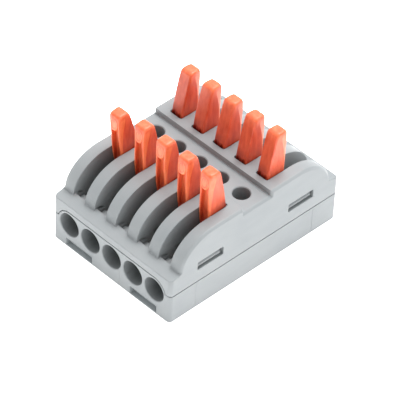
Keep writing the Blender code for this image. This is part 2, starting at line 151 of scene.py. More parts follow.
# Latch windows in the cover, and the base's tabs that hook in them
WINDOW_Y = (7.37, 13.02)
WINDOW_Z = (8.1, 9.7)
TAB_GAP = 0.16
TAB_INNER_X, TAB_OUTER_X, TAB_HOOK_X = 12.15, 12.5, 13.35
TAB_TOP_Z = 9.5
TAB_ROOT_Z = 4.45
TAB_HOOK_HEIGHT = 0.35

# Shallow pockets at the foot of the end faces
POCKET_X, POCKET_WIDTH, POCKET_DEPTH = 7.6, 6.2, 1.0
POCKET_Z = (0.2, 1.7)
# Fine lines where two halves of the mould met
MOULD_LINE_WIDTH, MOULD_LINE_DEPTH = 0.24, 0.09
SIDE_LINE_Y = 13.2
END_LINE_X, END_LINE_TOP_Z = 1.98, 3.2
# Slack for telling which points of the rounded base lie in a wire entry or in a foot pocket
RIM_SLACK, ENTRY_SLACK = 0.05, 0.03
POCKET_BACK_SLACK, POCKET_SLACK = 0.1, 0.02

# ---------------------------------------------------------------- lever sizes in millimetres

LEVER_HALF_WIDTH = 1.25
TRUNNION_RADIUS = 0.9
TRUNNION_LENGTH = 0.55
TRUNNION_CHAMFER = 0.1
LEVER_EDGE_RADIUS, LEVER_EDGE_ANGLE_DEG = 0.06, 58
# Each station is (height, inner |y|, outer |y|, flank's outer |y|, half width, half width of the outer face).
LEVER_STATIONS = (
    (8.9, 5.4, 5.8, 5.7, 0.98, 0.88),
    (8.98, 4.9, 6.35, 6.25, 1.1, 1.0),
    (9.12, 4.56, 6.75, 6.63, 1.18, 1.06),
    (9.4, 4.35, 7.15, 7.03, 1.25, 1.13),
    (9.75, 4.32, 7.5, 7.38, 1.25, 1.13),
    (10.4, 4.28, 7.78, 7.66, 1.25, 1.13),
    (11.2, 3.92, 7.95, 7.83, 1.25, 1.13),
    (11.9, 3.85, 8.06, 7.94, 1.25, 1.13),
    (12.6, 4.12, 8.16, 8.0, 1.25, 1.13),
    (13.4, 4.46, 8.27, 8.08, 1.25, 1.13),
    (14.6, 4.53, 8.38, 8.16, 1.25, 1.12),
    (16.0, 4.72, 8.44, 8.17, 1.25, 1.1),
    (17.3, 4.94, 8.48, 8.11, 1.25, 1.07),
    (18.6, 5.16, 8.5, 7.98, 1.25, 1.04),
    (19.7, 5.38, 8.52, 7.8, 1.25, 1.03),
    (20.6, 5.58, 8.52, 7.6, 1.25, 1.04),
    (21.5, 5.76, 8.51, 7.35, 1.25, 1.08),
    (22.3, 5.94, 8.5, 7.2, 1.25, 1.12),
    (22.85, 6.08, 8.5, 7.26, 1.25, 1.16),
    (23.12, 6.2, 8.46, 7.32, 1.22, 1.13),
    (23.3, 6.36, 8.37, 7.42, 1.15, 1.05),
    (23.42, 6.6, 8.2, 7.5, 1.02, 0.92),
    (23.47, 6.85, 8.0, 7.5, 0.85, 0.75),
)
# How far the corners of a station are rounded: on the inner side, on the ridges and near the tip
INNER_ROUND = 0.3
RIDGE_ROUND = 0.1
TIP_ROUND, TIP_ROUND_Z = 0.42, (21.9, 23.1)
LONGEST_EASE = 0.45  # the most of a side that one rounded corner may take
# The groove's right edge is given by (x, z) points, from its rounded top down.
GROOVE_FLOOR_Y = 7.7
GROOVE_CUT = 3
GROOVE = ((0.0, 20.3), (0.4, 20.2), (0.6, 19.8), (0.66, 18.6), (0.74, 16.9), (0.82, 14.5), (0.82, 12.8))
PAD_Y, PAD_Z = 8.5, 21.58
PAD_HALF_WIDTH, PAD_HALF_HEIGHT, PAD_HEIGHT = 0.9, 1.4, 0.16
PAD_TILT_DEG = 6
# The pad's section as shares of its radius and of its height
PAD_SECTION = ((0, 0.8), (0.48, 0.79), (0.6, 0.72), (0.76, 1), (0.9, 0.85), (0.98, 0.35))
PAD_EDGE_DEPTH, PAD_ROOT_DEPTH = 0.05, 0.5
PAD_SEGMENTS = 32
HEEL_HOLLOW_X, HEEL_HOLLOW_Y, HEEL_HOLLOW_Z = 0.66, 4.5, 13.4
HEEL_HOLLOW_SIZE = (0.42, 0.36, 3.0)
HEEL_HOLLOW_RINGS, HEEL_HOLLOW_SEGMENTS = 10, 20

# Painted light glowing through the levers, and how much: at the tip, in the ridges, in the pad and in the
# groove
TIP_PALE, TIP_PALE_Z = 0.45, (21.8, 23.2)
RIDGE_PALE, RIDGE_PALE_X, RIDGE_PALE_Y, RIDGE_PALE_Z = 0.8, 0.87, 7.0, (13.0, 22.6)
FLANK_SLACK = 0.004
PAD_PALE, PAD_RING_PALE, PAD_RING, PAD_RISE = 0.95, 0.1, (0.53, 0.68), 0.06
GROOVE_PALE_X, GROOVE_PALE_Y, GROOVE_PALE_Z = 0.75, (7.4, 8.3), (14, 20.5)
GROOVE_TOP_Z, GROOVE_FADE = 20.3, 4.5
# Painted shade: how the deep red of the heel fades upwards, on the inner side and on the outer one
HEEL_INNER_Y, HEEL_INNER_TOP_Z, HEEL_INNER_FADE = 5.6, 17.4, 2.2
HEEL_LEFT_RED, HEEL_RIGHT_RED, HEEL_SPLIT_X = 0.85, 0.15, 0.5
HEEL_OUTER_Y, HEEL_OUTER_TOP_Z, HEEL_OUTER_FADE, HEEL_OUTER_RED = 7.0, 14.6, 2.6, 0.75

YZ = Matrix(((0, 0, 1, 0), (1, 0, 0, 0), (0, 1, 0, 0), (0, 0, 0, 1)))  # outline (y, z), depth in x
XZ = Matrix(((1, 0, 0, 0), (0, 0, -1, 0), (0, 1, 0, 0), (0, 0, 0, 1)))  # outline (x, z), depth in -y
XY = Matrix.Identity(4)  # outline (x, y), depth in z


# ---------------------------------------------------------------- mesh tools


def solid(name, bm):
    """A new object from a bmesh, welded and with its normals outward."""
    bmesh.ops.remove_doubles(bm, verts=bm.verts, dist=WELD_DISTANCE)
    bmesh.ops.recalc_face_normals(bm, faces=bm.faces)
    mesh = bpy.data.meshes.new(name)
    bm.to_mesh(mesh)
    bm.free()
    obj = bpy.data.objects.new(name, mesh)
    bpy.context.scene.collection.objects.link(obj)
    return obj


def prism(points, low, high, plane):
    """A closed outline made solid between two depths."""
    bm = bmesh.new()
    verts = [bm.verts.new((u, v, low)) for u, v in points]
    face = bm.faces.new(verts)
    grown = bmesh.ops.extrude_face_region(bm, geom=[face])
    top = [item for item in grown["geom"] if isinstance(item, bmesh.types.BMVert)]
    bmesh.ops.translate(bm, verts=top, vec=(0, 0, high - low))
    bmesh.ops.transform(bm, matrix=plane, verts=bm.verts)
    return solid("prism", bm)


def block(low, high):
    """A box given by its lowest and its highest corner."""
    corners = [(low[0], low[1]), (high[0], low[1]), (high[0], high[1]), (low[0], high[1])]
    return prism(corners, low[2], high[2], XY)


def turned(profile, place, segments=ROUND_SEGMENTS):
    """A solid of revolution about +Z from (radius, height) points that start and end on the axis."""
    bm = bmesh.new()
    rings = []
    for radius, height in profile:
        if radius == 0:
            rings.append([bm.verts.new((0, 0, height))])
            continue
        angles = [2 * math.pi * i / segments for i in range(segments)]
        rings.append([bm.verts.new((radius * math.cos(a), radius * math.sin(a), height)) for a in angles])
    for lower, upper in zip(rings, rings[1:]):
        for i in range(segments):
            j = (i + 1) % segments
            below = [lower[i % len(lower)], lower[j % len(lower)]]
            above = [upper[j % len(upper)], upper[i % len(upper)]]
            bm.faces.new(list(dict.fromkeys(below + above)))
    bmesh.ops.transform(bm, matrix=place, verts=bm.verts)
    return solid("turned", bm)


def lofted(rings):
    """Rings of the same number of points, joined in order and closed at both ends."""
    bm = bmesh.new()
    made = [[bm.verts.new(point) for point in ring] for ring in rings]
    for lower, upper in zip(made, made[1:]):
        for i in range(len(lower)):
            j = (i + 1) % len(lower)
            bm.faces.new((lower[i], lower[j], upper[j], upper[i]))
    bm.faces.new(made[0])
    bm.faces.new(made[-1])
    return solid("loft", bm)


def settle(obj):
    """Turns what the modifiers make into the object's own mesh."""
    graph = bpy.context.evaluated_depsgraph_get()
    mesh = bpy.data.meshes.new_from_object(obj.evaluated_get(graph))
    obj.modifiers.clear()
    old, obj.data = obj.data, mesh
    bpy.data.meshes.remove(old)


def combine(target, tools, operation):
    """Joins tools to a target, cuts them from it or keeps what they share, and uses them up."""
    for tool in tools:
        modifier = target.modifiers.new("combine", "BOOLEAN")
        modifier.operation = operation
        modifier.solver = "EXACT"
        modifier.object = tool
        settle(target)
        bpy.data.objects.remove(tool)
    return target


def both_ends(make):
    """The same shape at the rear and, turned half round, at the front."""
    rear, front = make(), make()
    front.data.transform(Matrix.Rotation(math.pi, 4, "Z"))
    return [rear, front]


def bevel_edges(obj, chosen, **options):
    """Bevels the edges whose two ends pass a test."""
    bm = bmesh.new()
    bm.from_mesh(obj.data)
    edges = [edge for edge in bm.edges if chosen(*(vert.co for vert in edge.verts))]
    bmesh.ops.bevel(bm, geom=edges, affect="EDGES", **options)
    bm.to_mesh(obj.data)
    bm.free()


def soften(obj, radius, angle_deg=EDGE_ANGLE_DEG):
    """Rounds every edge that is sharper than the angle."""
    bevel = obj.modifiers.new("rounding", "BEVEL")
    bevel.width = radius
    bevel.segments = EDGE_SEGMENTS
    bevel.limit_method = "ANGLE"
    bevel.angle_limit = math.radians(angle_deg)
    bevel.use_clamp_overlap = False
    bevel.miter_outer = "MITER_ARC"
    settle(obj)


def finished(obj, name):
    """Names a piece, scales it from millimetres to metres and shades it."""
    obj.name = name
    obj.data.name = name
    obj.data.transform(Matrix.Scale(MM, 4))
    obj.data.shade_smooth()
    obj.data.set_sharp_from_angle(angle=math.radians(SMOOTH_ANGLE_DEG))
    weighted = obj.modifiers.new("flat_faces", "WEIGHTED_NORMAL")
    weighted.keep_sharp = True
    settle(obj)
    return obj


def arc(centre, radius, start_deg, end_deg, segments):
    """Points along an arc, both ends included."""
    angles = [math.radians(start_deg + (end_deg - start_deg) * i / segments) for i in range(segments + 1)]
    return [(centre[0] + radius * math.cos(a), centre[1] + radius * math.sin(a)) for a in angles]


# ---------------------------------------------------------------- housing


def plan_outline():
    """The housing seen from above, with rounded corners."""
    x, y = HALF_WIDTH - CORNER_RADIUS, HALF_LENGTH - CORNER_RADIUS
    points = []
    for i, (sx, sy) in enumerate(((1, 1), (-1, 1), (-1, -1), (1, -1))):
        points += arc((sx * x, sy * y), CORNER_RADIUS, 90 * i, 90 * i + 90, CORNER_SEGMENTS)
    return points


def fin_edge():
    """The rear fins' outer edge in (y, z), from the foot up to the level top."""
    radius_y = FIN_FOOT_Y - FIN_CENTRE_Y
    radius_z = BLOCK_TOP_Z - FIN_CENTRE_Z
    start = math.asin((SHELF_FOOT_Z - FIN_CENTRE_Z) / radius_z)
    points = []
    for i in range(FIN_SEGMENTS + 1):
        angle = start + (math.pi / 2 - start) * i / FIN_SEGMENTS
        points.append((FIN_CENTRE_Y + radius_y * math.cos(angle), FIN_CENTRE_Z + radius_z * math.sin(angle)))
    return points


def arch_outline(grow):
    """The base's raised end wall in (x, z): level over the ports, and round past the outer ones."""
    radius = END_SEAM_Z - PORT_Z + grow
    low_angle = math.degrees(math.asin((SEAM_Z - PORT_Z) / radius))
    right = arc((POLE_X[-1], PORT_Z), radius, low_angle, 90, ARCH_SEGMENTS)
    return right + [(-x, z) for x, z in reversed(right)]


def on_cover_rim(a, b):
    """Whether an edge with these ends is a long top edge of the cover's outermost fins."""
    on_side = all(abs(abs(end.x) - HALF_WIDTH) < NEAR for end in (a, b)) and a.x * b.x > 0
    return on_side and all(end.z > SHELF_FOOT_Z - NEAR and abs(end.y) < FIN_FOOT_Y + NEAR for end in (a, b))


def cover_blank():
    """The cover's outer form, with its long top edges chamfered."""
    half = [
        (HALF_LENGTH, SEAM_Z + SEAM_GAP),
        (HALF_LENGTH, SHELF_EDGE_Z),
        *fin_edge(),
        (BLOCK_END_Y, BLOCK_TOP_Z),
        (BLOCK_END_Y, CHANNEL_Z),
    ]
    blank = prism(half + [(-y, z) for y, z in reversed(half)], -HALF_WIDTH, HALF_WIDTH, YZ)
    bevel_edges(blank, on_cover_rim, offset=SIDE_CHAMFER, segments=1)
    return combine(blank, [prism(plan_outline(), -OVERSHOOT, BLOCK_TOP_Z + OVERSHOOT, XY)], "INTERSECT")


def on_slot_corner(a, b):
    """Whether an edge with these ends is an upright corner of a slot's inner wall, over 1 mm tall."""
    low, high = SLOT_INNER_LOW_Y - 10 * NEAR, SLOT_INNER_Y + 10 * NEAR
    return abs(a.z - b.z) > 1 and all(low < end.y < high for end in (a, b))


def slot_tool(x):
    """One rear slot, whose outer end runs out level with the shelf."""
    over = BLOCK_TOP_Z + OVERSHOOT
    rear = [
        (CAM_POCKET_Y, CEILING_Z - INTO_HOLLOW),
        (SLOT_STEP_Y, CEILING_Z - INTO_HOLLOW),
        (SLOT_STEP_Y, END_CEILING_Z - INTO_HOLLOW),
        (SLOT_LEDGE_Y, END_CEILING_Z - INTO_HOLLOW),
        (SLOT_LEDGE_Y, SLOT_LEDGE_Z),
        (SLOT_OUTER_Y, SLOT_LEDGE_Z),
        (SLOT_OUTER_Y, SHELF_FOOT_Z),
        (FIN_FOOT_Y + OVERSHOOT, SHELF_FOOT_Z - LIP_DROP),
        (FIN_FOOT_Y + OVERSHOOT, over),
        (SLOT_INNER_Y, over),
        (SLOT_INNER_LOW_Y, CAM_POCKET_TOP_Z),
        (CAM_POCKET_Y, CAM_POCKET_TOP_Z),
    ]
    tool = prism(rear, x - SLOT_HALF_WIDTH, x + SLOT_HALF_WIDTH, YZ)
    bevel_edges(tool, on_slot_corner, offset=SLOT_CORNER, segments=SLOT_CORNER_SEGMENTS, profile=0.5)
    return tool


def slot_tools():
    """The ten slots, five at each end."""
    tools = []
    for x in POLE_X:
        tools += both_ends(lambda: slot_tool(x))
    return tools


def opening_tools():
    """Blind recesses in the ledges at the outer ends of the slots."""
    tools = []
    for x in POLE_X:
        low = (x + OPENING_X[0], SLOT_LEDGE_Y - OVERLAP, OPENING_FLOOR_Z)
        high = (x + OPENING_X[1], OPENING_END_Y, SLOT_LEDGE_Z + OVERLAP)
        tools += both_ends(lambda: block(low, high))
    return tools


def hollow_tools():
    """One channel for each pole, and the pockets over the wire entries."""
    tools = []
    for x in POLE_X:
        low = -COVER_WALL_X if x == POLE_X[0] else x - CHANNEL_HALF_WIDTH
        high = COVER_WALL_X if x == POLE_X[-1] else x + CHANNEL_HALF_WIDTH
        tools.append(block((low, -COVER_CHANNEL_Y, 0), (high, COVER_CHANNEL_Y, CEILING_Z)))
    pocket = ((-COVER_WALL_X, COVER_CHANNEL_Y - OVERLAP, 0), (COVER_WALL_X, COVER_END_Y, END_CEILING_Z))
    return tools + both_ends(lambda: block(*pocket))


def mouth(radius, level, rim, end):
    """The profile of a hole's mouth with a broken edge, from inside its rim out to the cutter's end."""
    return [
        (radius, level - rim),
        (radius + rim * RIM_BEND, level - rim * RIM_BEND),
        (radius + rim * RIM_REACH, level + rim * RIM_BEND),
        (radius + rim * RIM_REACH, end),
        (0, end),
    ]


def hole_tool(x):
    """A test hole with a broken edge at its mouth."""
    low = CEILING_Z - INTO_HOLLOW
    profile = [(0, low), (HOLE_RADIUS, low), *mouth(HOLE_RADIUS, CHANNEL_Z, HOLE_RIM, BLOCK_TOP_Z)]
    return turned(profile, Matrix.Translation((x, 0, 0)))


def socket_tools():
    """Blind sockets for the trunnions, one on each side of every slot."""
    reach = SLOT_HALF_WIDTH + SOCKET_DEPTH
    profile = [(0, -reach), (SOCKET_RADIUS, -reach), (SOCKET_RADIUS, reach), (0, reach)]
    tools = []
    for x in POLE_X:
        place = Matrix.Translation((x, PIVOT_Y, PIVOT_Z)) @ Matrix.Rotation(math.pi / 2, 4, "Y")
        tools += both_ends(lambda: turned(profile, place, SMALL_SEGMENTS))
    return tools


def window_tools():
    """Two latch windows through each side wall."""
    tools = []
    for side in (-1, 1):
        xs = sorted((side * (COVER_WALL_X - OVERLAP), side * (HALF_WIDTH + OVERSHOOT)))
        low, high = (xs[0], WINDOW_Y[0], WINDOW_Z[0]), (xs[1], WINDOW_Y[1], WINDOW_Z[1])
        tools += both_ends(lambda: block(low, high))
    return tools


def make_cover():
    """The cover, with its edges rounded before the small recesses in the ledges are cut."""
    cover = cover_blank()
    combine(cover, hollow_tools(), "DIFFERENCE")
    combine(cover, slot_tools(), "DIFFERENCE")
    reach = HALF_LENGTH + OVERSHOOT
    combine(cover, [prism(arch_outline(SEAM_GAP), -reach, reach, XZ)], "DIFFERENCE")
    combine(cover, [hole_tool(x) for x in POLE_X], "DIFFERENCE")
    combine(cover, socket_tools(), "DIFFERENCE")
    combine(cover, window_tools(), "DIFFERENCE")
    soften(cover, EDGE_RADIUS)
    combine(cover, opening_tools(), "DIFFERENCE")
    return finished(cover, "housing_cover")


def tab_tools():
    """Latch tabs with a hook, whose sloping top lets the cover slide on."""
    low_y, high_y = WINDOW_Y[0] + TAB_GAP, WINDOW_Y[1] - TAB_GAP
    hook_z = WINDOW_Z[0] + TAB_GAP
    hook = [
        (TAB_INNER_X, TAB_ROOT_Z),
        (TAB_OUTER_X, TAB_ROOT_Z),
        (TAB_OUTER_X, hook_z),
        (TAB_HOOK_X, hook_z),
        (TAB_HOOK_X, hook_z + TAB_HOOK_HEIGHT),
        (TAB_OUTER_X, TAB_TOP_Z),
        (TAB_INNER_X, TAB_TOP_Z),
    ]
    tools = []
    for points in (hook, [(-x, z) for x, z in reversed(hook)]):
        tools += both_ends(lambda: prism(points, -high_y, -low_y, XZ))
    return tools


def port_tools():
    """Round wire entries with a broken edge, narrowing to the throat that guides the bare wire."""
    profile = [
        *reversed(mouth(PORT_RADIUS, HALF_LENGTH, PORT_RIM, HALF_LENGTH + OVERSHOOT)),
        (PORT_RADIUS - PORT_DRAFT, PORT_DEPTH_Y),
        (THROAT_RADIUS, THROAT_Y),
        (THROAT_RADIUS, BASE_CHANNEL_Y - OVERLAP),
        (0, BASE_CHANNEL_Y - OVERLAP),
    ]
    tools = []
    for x in POLE_X:
        place = Matrix.Translation((x, 0, PORT_Z)) @ Matrix.Rotation(-math.pi / 2, 4, "X")
        tools += both_ends(lambda: turned(profile, place))
    return tools


def foot_pocket_tools():
    """Two shallow pockets at the foot of each end face."""
    tools = []
    for x in (-POCKET_X, POCKET_X):
        low = (x - POCKET_WIDTH / 2, HALF_LENGTH - POCKET_DEPTH, POCKET_Z[0])
        high = (x + POCKET_WIDTH / 2, HALF_LENGTH + OVERSHOOT, POCKET_Z[1])
        tools += both_ends(lambda: block(low, high))
    return tools


def upright_line(x, y, top):
    """A bar that cuts a fine, shallow V-shaped line in the end wall or the side wall at a point."""
    width, depth = MOULD_LINE_WIDTH, MOULD_LINE_DEPTH
    if abs(abs(x) - HALF_WIDTH) < depth:
        inner_x, outer_x = x - math.copysign(depth, x), x + math.copysign(depth, x)
        points = [(inner_x, y), (outer_x, y - width), (outer_x, y + width)]
    else:
        points = [(x, y - depth), (x - width, y + depth), (x + width, y + depth)]
    return prism(points, -OVERSHOOT, top, XY)


def mould_line_tools():
    """One line in each end face and two in each side wall."""
    tools = both_ends(lambda: upright_line(-END_LINE_X, HALF_LENGTH, END_LINE_TOP_Z))
    for side in (-1, 1):
        tools += both_ends(lambda: upright_line(side * HALF_WIDTH, SIDE_LINE_Y, SEAM_Z + OVERSHOOT))
    return tools


def make_base():
    """The base: a tray with raised end walls, latch tabs, wire entries and foot pockets."""
    beyond = HALF_LENGTH + OVERSHOOT
    base = prism(plan_outline(), 0, END_SEAM_Z + OVERSHOOT, XY)
    above = [(-beyond, SEAM_Z), (-beyond, BLOCK_TOP_Z), (beyond, BLOCK_TOP_Z), (beyond, SEAM_Z)]
    middle_low = (-COVER_WALL_X, -END_BLOCK_Y, SEAM_Z - MIDDLE_DROP)
    middle = block(middle_low, (COVER_WALL_X, END_BLOCK_Y, BLOCK_TOP_Z))
    combine(base, [prism(arch_outline(0) + above, -beyond, beyond, XZ), middle], "DIFFERENCE")
    channels = []
    for x in POLE_X:
        low = (x - CHANNEL_HALF_WIDTH, BASE_STOP_Y, BASE_FLOOR_Z)
        high = (x + CHANNEL_HALF_WIDTH, BASE_CHANNEL_Y, SEAM_Z + OVERSHOOT)
        channels += both_ends(lambda: block(low, high))
    combine(base, channels, "DIFFERENCE")
    combine(base, tab_tools(), "UNION")
    combine(base, port_tools(), "DIFFERENCE")
    combine(base, foot_pocket_tools(), "DIFFERENCE")
    soften(base, BASE_EDGE_RADIUS)
    combine(base, mould_line_tools(), "DIFFERENCE")
    mark_entry_shade_and_pocket_light(base.data)
    return finished(base, "housing_base")


def in_entry(point):
    """Whether a point of the base lies on the wall of a wire entry."""
    axis_x = min(POLE_X, key=lambda x: abs(x - point.x))
    off_axis = math.hypot(point.x - axis_x, point.z - PORT_Z)
    between_ends = BASE_CHANNEL_Y < abs(point.y) < HALF_LENGTH - PORT_RIM - RIM_SLACK
    return between_ends and off_axis < PORT_RADIUS + ENTRY_SLACK


def in_foot_pocket(point):
    """Whether a point of the base lies on a wall of a foot pocket."""
    past_back = abs(point.y) > HALF_LENGTH - POCKET_DEPTH - POCKET_BACK_SLACK
    under_top = point.z < POCKET_Z[1] + POCKET_SLACK
    return past_back and under_top and abs(abs(point.x) - POCKET_X) < POCKET_WIDTH / 2 + POCKET_SLACK


def mark_entry_shade_and_pocket_light(mesh):
    """A value at each point: 1 for painted shade in the wire entries and -1 for painted light in the foot
    pockets.
    """
    deep = mesh.attributes.new("deep", "FLOAT", "POINT")
    for vert, value in zip(mesh.vertices, deep.data):
        value.value = 1.0 if in_entry(vert.co) else -1.0 if in_foot_pocket(vert.co) else 0.0


# ---------------------------------------------------------------- levers


def eased(points, reaches):
    """An outline whose corners are each replaced by a short curve of four points."""
    result = []
    for i, (here, reach) in enumerate(zip(points, reaches)):
        here = Vector(here)
        before, after = Vector(points[i - 1]) - here, Vector(points[(i + 1) % len(points)]) - here
        start = here + before.normalized() * min(reach, before.length * LONGEST_EASE)
        end = here + after.normalized() * min(reach, after.length * LONGEST_EASE)
        for t in (0.0, 1 / 3, 2 / 3, 1.0):
            result.append(start * (1 - t) ** 2 + here * 2 * t * (1 - t) + end * t**2)
    return result


def between(value, low, high):
    """Where a value lies between two others: 0 at the low one or below, and 1 at the high one or above."""
    return max(0.0, min(1.0, (value - low) / (high - low)))


def lever_ring(station):
    """One level section: flat inner side, straight flanks, and ridges that slope to a flat outer face."""
    height, inner, outer, flank, half, face = station
    corners = [(half, inner), (half, flank), (face, outer), (-face, outer), (-half, flank), (-half, inner)]
    tip = between(height, *TIP_ROUND_Z)
    ridge = RIDGE_ROUND + (TIP_ROUND - RIDGE_ROUND) * tip
    inner_round = INNER_ROUND + (TIP_ROUND - INNER_ROUND) * tip
    reaches = [inner_round] + [ridge] * 4 + [inner_round]
    return [(point.x, point.y, height) for point in eased(corners, reaches)]


def groove_tool():
    """Cuts the groove down the outer face to a level floor."""
    left = [(-x, z) for x, z in reversed(GROOVE[1:])]
    return prism(list(GROOVE) + left, -GROOVE_FLOOR_Y - GROOVE_CUT, -GROOVE_FLOOR_Y, XZ)


def pad():
    """The raised oval near the tip, where a finger pushes."""
    profile = [(radius, PAD_HEIGHT * height) for radius, height in PAD_SECTION]
    profile += [(1.0, -PAD_EDGE_DEPTH), (1.0, -PAD_ROOT_DEPTH), (0, -PAD_ROOT_DEPTH)]
    size = Matrix.Diagonal((PAD_HALF_WIDTH, PAD_HALF_HEIGHT, 1, 1))
    tilt = Matrix.Rotation(math.radians(-90 + PAD_TILT_DEG), 4, "X")
    return turned(profile, Matrix.Translation((0, PAD_Y, PAD_Z)) @ tilt @ size, PAD_SEGMENTS)


def heel_hollows():
    """Two long shallow hollows, low on the inner side, which leave a rib between them."""
    angles = [math.pi * i / HEEL_HOLLOW_RINGS for i in range(1, HEEL_HOLLOW_RINGS)]
    profile = [(0, -1), *((math.sin(a), -math.cos(a)) for a in angles), (0, 1)]
    size = Matrix.Diagonal((*HEEL_HOLLOW_SIZE, 1))
    tools = []
    for side in (-1, 1):
        place = Matrix.Translation((side * HEEL_HOLLOW_X, HEEL_HOLLOW_Y, HEEL_HOLLOW_Z))
        tools.append(turned(profile, place @ size, HEEL_HOLLOW_SEGMENTS))
    return tools


def lever_mesh():
    """An upright rear lever with its trunnions, measured from its pivot."""
    lever = lofted([lever_ring(station) for station in LEVER_STATIONS])
    reach = LEVER_HALF_WIDTH + TRUNNION_LENGTH
    axle = [
        (0, -reach),
        (TRUNNION_RADIUS - TRUNNION_CHAMFER, -reach),
        (TRUNNION_RADIUS, TRUNNION_CHAMFER - reach),
    ]
    axle += [(radius, -height) for radius, height in reversed(axle)]
    place = Matrix.Translation((0, PIVOT_Y, PIVOT_Z)) @ Matrix.Rotation(math.pi / 2, 4, "Y")
    combine(lever, [pad(), turned(axle, place, SMALL_SEGMENTS)], "UNION")
    combine(lever, [groove_tool()] + heel_hollows(), "DIFFERENCE")
    soften(lever, LEVER_EDGE_RADIUS, LEVER_EDGE_ANGLE_DEG)
    paint_glow_and_heel_shade(lever.data)
    lever.data.transform(Matrix.Translation((0, -PIVOT_Y, -PIVOT_Z)))
    return finished(lever, "lever")


def pad_paleness(x, z):
    """Pale painted light in the pad's middle and on its rim, and deeper colour in the ring between them."""
    radius = math.hypot(x / PAD_HALF_WIDTH, (z - PAD_Z) / PAD_HALF_HEIGHT)
    return PAD_RING_PALE if PAD_RING[0] < radius < PAD_RING[1] else PAD_PALE


def paleness(x, y, z):
    """How much painted light glows through the lever at a point: most in the pad, the ridges and the groove's
    top.
    """
    off_middle = abs(x)
    in_ridge = RIDGE_PALE_X < off_middle < LEVER_HALF_WIDTH - FLANK_SLACK and y > RIDGE_PALE_Y
    in_groove = off_middle < GROOVE_PALE_X and GROOVE_PALE_Y[0] < y < GROOVE_PALE_Y[1]
    values = [TIP_PALE * (z - TIP_PALE_Z[0]) / (TIP_PALE_Z[1] - TIP_PALE_Z[0])]
    if in_ridge and RIDGE_PALE_Z[0] < z < RIDGE_PALE_Z[1]:
        values.append(RIDGE_PALE)
    if in_groove and GROOVE_PALE_Z[0] < z < GROOVE_PALE_Z[1]:
        values.append(1 - (GROOVE_TOP_Z - z) / GROOVE_FADE)
    if y > PAD_Y + PAD_RISE:
        values.append(pad_paleness(x, z))
    return between(max(values), 0, 1)


def heel_shade_amount(x, y, z):
    """How much painted shade deepens the red at a point: full at the heel, and fading upwards."""
    redness = 0
    if y < HEEL_INNER_Y:
        side_red = HEEL_LEFT_RED if x < HEEL_SPLIT_X else HEEL_RIGHT_RED
        redness = (HEEL_INNER_TOP_Z - z) / HEEL_INNER_FADE * side_red
    if y > HEEL_OUTER_Y:
        redness = HEEL_OUTER_RED * (HEEL_OUTER_TOP_Z - z) / HEEL_OUTER_FADE
    return between(redness, 0, 1)


def paint_glow_and_heel_shade(mesh):
    """Two values at each point for the material: how much painted light glows through the plastic and how
    much painted shade deepens its red.
    """
    painted_glow = mesh.attributes.new("painted_glow", "FLOAT", "POINT")
    for vert, value in zip(mesh.vertices, painted_glow.data):
        value.value = paleness(*vert.co)
    heel_shade = mesh.attributes.new("heel_shade", "FLOAT", "POINT")
    for vert, value in zip(mesh.vertices, heel_shade.data):
        value.value = heel_shade_amount(*vert.co)


def place_levers(shade):
    """Ten copies of the lever, each on its own hinge and leaning as the CAD's lever does at rest."""
    pattern = lever_mesh()
    for half in ("front", "rear"):
        for i in POLES:
            joint = JOINTS[f"{half}_lever_{i}_body"]
            turn = Matrix.Rotation(math.pi if half == "front" else 0.0, 4, "Z")
            lever = bpy.data.objects.new(f"{half}_lever_{i}_piece", pattern.data.copy())
            bpy.context.scene.collection.objects.link(lever)
            lean = math.radians(joint["range_deg"][0])
            lever.data.transform(Matrix.Translation(joint["pos_m"]) @ turn @ Matrix.Rotation(lean, 4, "X"))
            lever.data.materials.append(shade)
            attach(lever, f"{half}_lever_{i}_body")
            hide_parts(f"{half}_lever_{i}")
    bpy.data.objects.remove(pattern)


# ---------------------------------------------------------------- materials


NOISE_LOW, NOISE_HIGH = 0.3, 0.7  # the range in which most noise values lie


